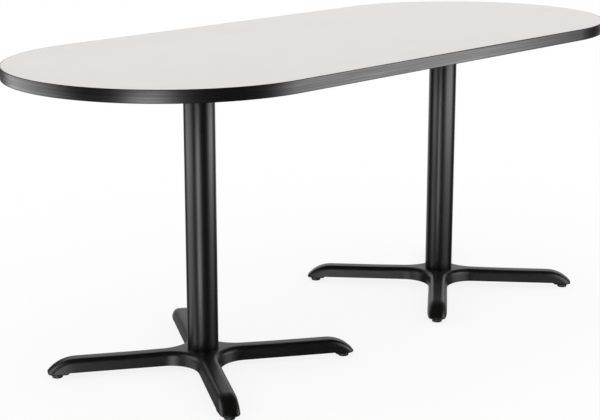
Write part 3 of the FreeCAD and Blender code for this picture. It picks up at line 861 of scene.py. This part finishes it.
@dataclass
class Pedestal:
    """Tube column on its X-base, with the tie rod, spider and screws that hold it to the top."""

    side: Side
    half_spacing: float = 457.2 * MM
    tube_radius: float = 36.5 * MM
    tube_wall: float = 2.0 * MM
    tube_low: float = 47.3 * MM
    tube_high: float = 682.5 * MM
    tube_ease: float = 0.35 * MM
    tube_points: int = 160
    rod_radius: float = 6.35 * MM
    rod_low: float = 20.2 * MM
    rod_high: float = 707.2 * MM
    rod_pitch: float = 25.4 / 13 * MM
    rod_thread: float = 44.0 * MM
    rod_ease: float = 0.9 * MM
    rod_points: int = 48
    screw_head: float = 5.5 * MM
    screw_shank: float = 2.75 * MM
    screw_low: float = 696.4 * MM
    screw_face: float = 700.0 * MM
    screw_tip: float = 724.7 * MM
    screw_round: float = 1.5 * MM
    screw_point: float = 4.0 * MM
    screw_point_share: float = 0.24
    screw_points: int = 40
    screw_turn: float = 0.7
    screw_rows: tuple[float, float] = (74.0 * MM, 112.0 * MM)
    recess: tuple[float, float, float] = (5.4 * MM, 1.2 * MM, 3.4 * MM)
    recess_taper: tuple[float, float, float] = (0.5, 0.8, 1.0)

    @property
    def name(self) -> str:
        """Word for this side that starts the names of its pieces."""
        return self.side.word

    @property
    def axis(self) -> Vector:
        """Foot of the column's axis on the floor."""
        return Vector((self.side.sign * self.half_spacing, 0, 0))

    def build_tube(self) -> bpy.types.Object:
        """Model the column: a tube with a real wall and eased cut ends.

        Returns:
            The tube.
        """
        tall = self.tube_high - self.tube_low
        tube = start(self.name + "_column_tube", bpy.ops.mesh.primitive_cylinder_add,
                     vertices=self.tube_points, radius=self.tube_radius, depth=tall,
                     end_fill_type="NOTHING", location=self.axis + Vector((0, 0, self.tube_low + tall / 2)))
        shape_with(tube, "SOLIDIFY", thickness=self.tube_wall, offset=-1.0, use_even_offset=True)
        ease(tube, self.tube_ease)
        smooth(tube)
        return tube

    def build_rod(self) -> bpy.types.Object:
        """Model the tie rod: a plain bar with a thread cut on each end.

        Returns:
            The rod.
        """
        lower = threaded_bar(self.name + "_rod_low", self.rod_low, self.rod_low + self.rod_thread,
                             self.rod_radius, self.rod_pitch)
        upper = threaded_bar(self.name + "_rod_high", self.rod_high - self.rod_thread, self.rod_high,
                             self.rod_radius, self.rod_pitch)
        tall = self.rod_high - self.rod_low - 2 * self.rod_thread
        bar = start(self.name + "_rod_bar", bpy.ops.mesh.primitive_cylinder_add,
                    vertices=self.rod_points, radius=self.rod_radius, depth=tall,
                    location=(0, 0, (self.rod_low + self.rod_high) / 2))
        ease(bar, self.rod_ease)
        rod = joined([bar, lower, upper], self.name + "_threaded_rod")
        with editing(rod):
            bpy.ops.transform.translate(value=self.axis)
        smooth(rod)
        return rod

    def build_screw(self) -> bpy.types.Object:
        """Model one pan-head screw with a cross recess, at the origin in plan, its point upwards.

        Returns:
            The screw.
        """
        tall = self.screw_face - self.screw_low
        screw = start(self.name + "_screw", bpy.ops.mesh.primitive_cylinder_add,
                      vertices=self.screw_points, radius=self.screw_head, depth=tall,
                      location=(0, 0, self.screw_low + tall / 2))
        with editing(screw):
            choose(screw, Part.EDGE, lambda at, way: at.z < self.screw_low + NEAR)
            bpy.ops.mesh.bevel(offset=self.screw_round, segments=ROUND_SEGMENTS, affect="EDGES")
            choose(screw, Part.FACE, lambda at, way: way.z > FACING)
            bpy.ops.mesh.inset(thickness=self.screw_head - self.screw_shank)
            draw_out(0, self.screw_tip - self.screw_point - self.screw_face)
            draw_out(0, self.screw_point)
            bpy.ops.transform.resize(value=(self.screw_point_share, self.screw_point_share, 1.0))
        for turn in (0.0, math.pi / 2):
            blade = start("recess_blade", bpy.ops.mesh.primitive_cube_add, size=1.0,
                          location=(0, 0, self.screw_low), rotation=(0, 0, turn), scale=self.recess)
            with editing(blade):
                choose(blade, Part.FACE, lambda at, way: way.z > FACING)
                bpy.ops.transform.resize(value=self.recess_taper)
            shape_with(screw, "BOOLEAN", operation="DIFFERENCE", object=blade, solver="EXACT")
            bpy.data.objects.remove(blade)
        smooth(screw)
        return screw

    def build_screws(self) -> bpy.types.Object:
        """Set eight screws in the four arms of the spider.

        Returns:
            The set of screws.
        """
        screw = self.build_screw()
        copies = []
        for arm in range(ARMS):
            angle = arm_angle(arm)
            for row, reach in enumerate(self.screw_rows):
                spot = self.axis + Vector((reach * math.cos(angle), reach * math.sin(angle), 0))
                twin = copy_of(screw, "%s_screw_%d_%d" % (self.name, arm, row), spot)
                with editing(twin):
                    bpy.ops.transform.rotate(value=self.screw_turn * (3 * arm + row), orient_axis="Z",
                                             center_override=spot)
                copies.append(twin)
        bpy.data.objects.remove(screw)
        return joined(copies, self.name + "_pan_head_screws")

    def build(self, palette: Palette, dresser: Dresser) -> None:
        """Build and dress one pedestal without its glides.

        Args:
            palette: Materials to use.
            dresser: Ties pieces to their bodies.
        """
        name = self.name
        casting = smooth_copy(name + "_x_base", name + "_base_casting")
        dresser.dress(casting, palette.casting, "table", "black_casting", name + "_x_base")
        dresser.dress(self.build_tube(), palette.tube, "table", "black_tube", name + "_column")
        spider = smooth_copy(name + "_spider", name + "_spider_casting")
        dresser.dress(spider, palette.casting, "table", "black_casting", name + "_spider")
        dresser.dress(self.build_rod(), palette.zinc, "table", "zinc_steel", name + "_tie_rod")
        dresser.dress(self.build_screws(), palette.zinc, "table", "zinc_steel", name + "_spider_screws")
        for ring in ("lower_washer", "lock_washer", "lower_nut", "upper_washer", "upper_nut"):
            node = "%s_%s" % (name, ring)
            fitting = smooth_copy(node, node + "_plated")
            dresser.dress(fitting, palette.zinc, "table", "zinc_steel", node)


@dataclass
class Glides:
    """The four levelling glides of one base: nylon feet, each with a threaded stem held in it."""

    side: Side
    half_spacing: float = 457.2 * MM
    reach: float = 342.9 * MM
    foot_radius: float = 12.7 * MM
    foot_height: float = 10.2 * MM
    foot_round: float = 1.5 * MM
    foot_ease: float = 0.6 * MM
    foot_points: int = 72
    throat: float = 4.17 * MM
    socket_radius: float = 7.7 * MM
    socket_roof: float = 7.0 * MM
    socket_floor: float = 3.6 * MM
    head_radius: float = 7.5 * MM
    head_low: float = 3.8 * MM
    head_high: float = 6.8 * MM
    head_ease: float = 0.5 * MM
    head_points: int = 40
    stem_radius: float = 3.97 * MM
    stem_high: float = 26.0 * MM
    stem_sink: float = 1.0 * MM
    lead: float = 0.7 * MM
    lead_share: float = 0.84
    pitch: float = 25.4 / 18 * MM

    def spot(self, arm: int) -> Vector:
        """Work out the plan place of one glide.

        Args:
            arm: Number of the arm, counted round from the first one.

        Returns:
            The middle of the glide on the floor.
        """
        angle = arm_angle(arm, self.side.turn)
        x = self.side.sign * self.half_spacing + self.reach * math.cos(angle)
        return Vector((x, self.reach * math.sin(angle), 0))

    def build_foot(self) -> bpy.types.Object:
        """Model one nylon foot at the origin: rounded below, eased above, with a socket for the stem's head.

        Returns:
            The foot.
        """
        foot = start("nylon_foot", bpy.ops.mesh.primitive_cylinder_add, vertices=self.foot_points,
                     radius=self.foot_radius, depth=self.foot_height, location=(0, 0, self.foot_height / 2))
        with editing(foot):
            choose(foot, Part.EDGE, lambda at, way: at.z < NEAR)
            bpy.ops.mesh.bevel(offset=self.foot_round, segments=ROUND_SEGMENTS, affect="EDGES")
            choose(foot, Part.EDGE, lambda at, way: at.z > self.foot_height - NEAR)
            bpy.ops.mesh.bevel(offset=self.foot_ease, segments=EASE_SEGMENTS, affect="EDGES")
            choose(foot, Part.FACE, lambda at, way: way.z > FLAT)
            bpy.ops.mesh.inset(thickness=self.foot_radius - self.foot_ease - self.throat)
            wide = self.socket_radius / self.throat
            for down, growth in ((self.socket_roof - self.foot_height, 1.0), (0.0, wide),
                                 (self.socket_floor - self.socket_roof, 1.0)):
                draw_out(0, down)
                bpy.ops.transform.resize(value=(growth, growth, 1.0))
            face_outwards()
        smooth(foot)
        return foot

    def build_stem(self) -> bpy.types.Object:
        """Model one stem at the origin: a flat head and a threaded shank with a lead on its end.

        Returns:
            The stem.
        """
        shank = threaded_bar("stem_shank", self.head_low + self.stem_sink, self.stem_high,
                             self.stem_radius, self.pitch)
        with editing(shank):
            choose(shank, Part.VERTEX, lambda at, way: at.z > self.stem_high - self.lead)
            bpy.ops.transform.resize(value=(self.lead_share, self.lead_share, 1.0),
                                     center_override=(0, 0, self.stem_high))
        tall = self.head_high - self.head_low
        head = start("stem_head", bpy.ops.mesh.primitive_cylinder_add, vertices=self.head_points,
                     radius=self.head_radius, depth=tall, location=(0, 0, self.head_low + tall / 2))
        ease(head, self.head_ease)
        stem = joined([head, shank], "threaded_stem")
        smooth(stem)
        return stem

    def build(self, palette: Palette, dresser: Dresser) -> None:
        """Build and dress the four glides.

        Args:
            palette: Materials to use.
            dresser: Ties pieces to their bodies.
        """
        foot = self.build_foot()
        stem = self.build_stem()
        for arm in range(ARMS):
            shift = self.spot(arm)
            for part, word, material, slot in ((foot, "foot", palette.nylon, "nylon"),
                                               (stem, "stem", palette.zinc, "zinc_steel")):
                node = "%s_glide_%s_%d" % (self.side.word, word, arm + 1)
                twin = copy_of(part, node + "_turned", shift)
                dresser.dress(twin, material, node, slot, node)
        bpy.data.objects.remove(foot)
        bpy.data.objects.remove(stem)


# Studio


@dataclass(frozen=True)
class SoftBox:
    """Upright soft box beside the table, seen only in glossy reflections.

    It faces a point of the floor plan. Its glow lists heights with the share of the level there, and its rim
    says how softly it fades towards its upright edges.
    """

    name: str
    middle: tuple[float, float, float]
    faces: tuple[float, float]
    width: float
    height: float
    level: float
    glow: tuple[tuple[float, float], ...]
    rim: float = 0.75

    def build(self) -> None:
        """Stand the box up and light it."""
        way = math.atan2(self.faces[1] - self.middle[1], self.faces[0] - self.middle[0])
        panel = start(self.name, bpy.ops.mesh.primitive_plane_add, size=1.0)
        with editing(panel):
            bpy.ops.mesh.subdivide(number_cuts=1)
        panel.scale = (self.height, self.width, 1.0)
        panel.rotation_euler = (0.0, math.pi / 2, way)
        panel.location = self.middle
        material = bpy.data.materials.new(self.name + "_cloth")
        g = Graph(material)
        glow = g.node("ShaderNodeEmission", None, {"Strength": self.fade(g) * self.level})
        g.node_out(glow)
        material.cycles.emission_sampling = "NONE"
        panel.data.materials.append(material)
        for ray in ("camera", "diffuse", "shadow", "transmission", "volume_scatter"):
            setattr(panel, "visible_" + ray, False)

    def fade(self, g: Graph) -> Value:
        """Make the pattern of the light on the box.

        Args:
            g: Graph of the box's cloth.

        Returns:
            A share that follows the glow upwards and falls to nothing at both upright edges.
        """
        down = g.axis(g.place(), "X")
        across = g.axis(g.place(), "Y")
        low = self.middle[2] - self.height / 2
        stops = [((high - low) / self.height, share) for high, share in self.glow]
        upright = g.ramp(0.5 - down, *stops)
        return upright * g.ramp(1.0 - 4.0 * (across * across), (0.0, 0.0), (self.rim, 1.0))


@dataclass
class Studio:
    """Pale floor, soft light all round, soft boxes for reflections and the camera of the photograph."""

    eye: Vector = field(default_factory=lambda: Vector((-2.8485, -2.4868, 1.2503)))
    yaw: float = 0.83233
    pitch: float = 0.2474
    focal: float = 92.12
    sensor: float = 36.0
    sight: float = 200.0
    floor_size: float = 60.0
    floor_gap: float = 0.1 * MM
    level: float = 1.0
    gloom: float = 0.02
    lift: float = 0.86
    boxes: tuple[SoftBox, ...] = (
        SoftBox("right_soft_box", middle=(0.66, -1.09, -0.1), faces=(0.53, -0.11),
                width=1.74, height=2.4, level=5.0, glow=(
                    (-1.3, 0.0), (-0.6, 0.16), (-0.4, 0.2), (-0.09, 0.3), (0.135, 0.44), (0.34, 0.78),
                    (0.5, 0.95), (0.65, 1.0), (0.85, 0.6), (1.1, 0.0))),
        SoftBox("front_soft_box", middle=(-2.17, -1.03, -0.1), faces=(-0.457, 0.0),
                width=1.0, height=2.4, level=7.8, glow=(
                    (-1.3, 0.5), (-0.75, 1.0), (-0.55, 0.78), (-0.25, 0.5), (0.03, 0.62), (0.26, 1.0),
                    (0.5, 0.85), (0.75, 0.5), (1.1, 0.0))),
        SoftBox("left_soft_box", middle=(-1.09, 0.63, -0.1), faces=(-0.16, 0.20),
                width=1.26, height=2.4, level=3.4, glow=(
                    (-1.3, 0.0), (-0.5, 0.6), (-0.28, 0.5), (-0.15, 0.46), (0.1, 0.55), (0.27, 0.75),
                    (0.45, 1.0), (0.63, 0.8), (1.1, 0.0))),
        SoftBox("back_soft_box", middle=(1.86, 1.067, 0.60), faces=(1.332, 0.218),
                width=4.26, height=3.4, level=1.08, rim=0.25, glow=(
                    (-1.1, 0.0), (-0.76, 0.36), (-0.25, 0.75), (0.26, 0.96), (0.6, 1.0), (0.94, 0.96),
                    (1.45, 0.75), (1.96, 0.36), (2.3, 0.0))),
    )

    def add_camera(self) -> None:
        """Put the camera where the photograph was taken from."""
        data = bpy.data.cameras.new("photo_camera")
        data.sensor_fit = "HORIZONTAL"
        data.sensor_width = self.sensor
        data.lens = self.focal
        data.clip_end = self.sight
        camera = bpy.data.objects.new("photo_camera", data)
        bpy.context.scene.collection.objects.link(camera)
        forward = Vector((math.sin(self.yaw) * math.cos(self.pitch),
                          math.cos(self.yaw) * math.cos(self.pitch), -math.sin(self.pitch)))
        camera.location = self.eye
        camera.rotation_euler = forward.to_track_quat("-Z", "Y").to_euler()
        bpy.context.scene.camera = camera

    def add_floor(self) -> None:
        """Lay the pale floor just under the feet; it takes the shadow and stays out of reflections."""
        floor = start("studio_floor", bpy.ops.mesh.primitive_plane_add, size=self.floor_size,
                      location=(0, 0, -self.floor_gap))
        material = bpy.data.materials.new("studio_floor_paint")
        g = Graph(material)
        paper = g.noise(g.place(), 400.0, 3.0, 0.6)
        tone = g.blend(paper, colour(254, 254, 254), colour(252, 252, 252))
        pale = g.node("ShaderNodeBsdfDiffuse", None, {"Color": tone})
        white = g.node("ShaderNodeEmission", None, {"Strength": 1.0})
        seen = g.node("ShaderNodeLightPath", out="Is Camera Ray")
        g.node_out(g.node("ShaderNodeMixShader", None, {0: self.lift * seen, 1: pale, 2: white}))
        floor.data.materials.append(material)
        floor.visible_glossy = False

    def add_world(self) -> None:
        """Light the scene with an even white dome that is nearly dark in reflections."""
        world = bpy.data.worlds.new("studio_dome")
        bpy.context.scene.world = world
        g = Graph(world)
        glossy = g.node("ShaderNodeLightPath", out="Is Glossy Ray")
        strength = self.level * (1.0 - glossy) + self.gloom * glossy
        dome = g.node("ShaderNodeBackground", None, {"Color": (1, 1, 1, 1), "Strength": strength})
        item = g.tree.nodes.new("ShaderNodeOutputWorld")
        g.tree.links.new(dome.socket, item.inputs["Surface"])

    def build(self) -> None:
        """Set the whole studio and the plain view transform."""
        self.add_camera()
        self.add_floor()
        self.add_world()
        for box in self.boxes:
            box.build()
        bpy.context.scene.view_settings.view_transform = "Standard"


def write_sizes() -> None:
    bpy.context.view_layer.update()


def main() -> None:
    """Load the frame and build every sub-assembly in order."""
    logging.basicConfig(level=logging.INFO, format="%(name)s: %(message)s")
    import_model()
    palette = Palette()
    dresser = Dresser()
    TableTop().build(palette, dresser)
    for side in Side:
        Pedestal(side).build(palette, dresser)
        Glides(side).build(palette, dresser)
    Studio().build()
    write_sizes()
    LOG.info("%d pieces dressed", len(dresser.placed))


if __name__ == "__main__":
    main()
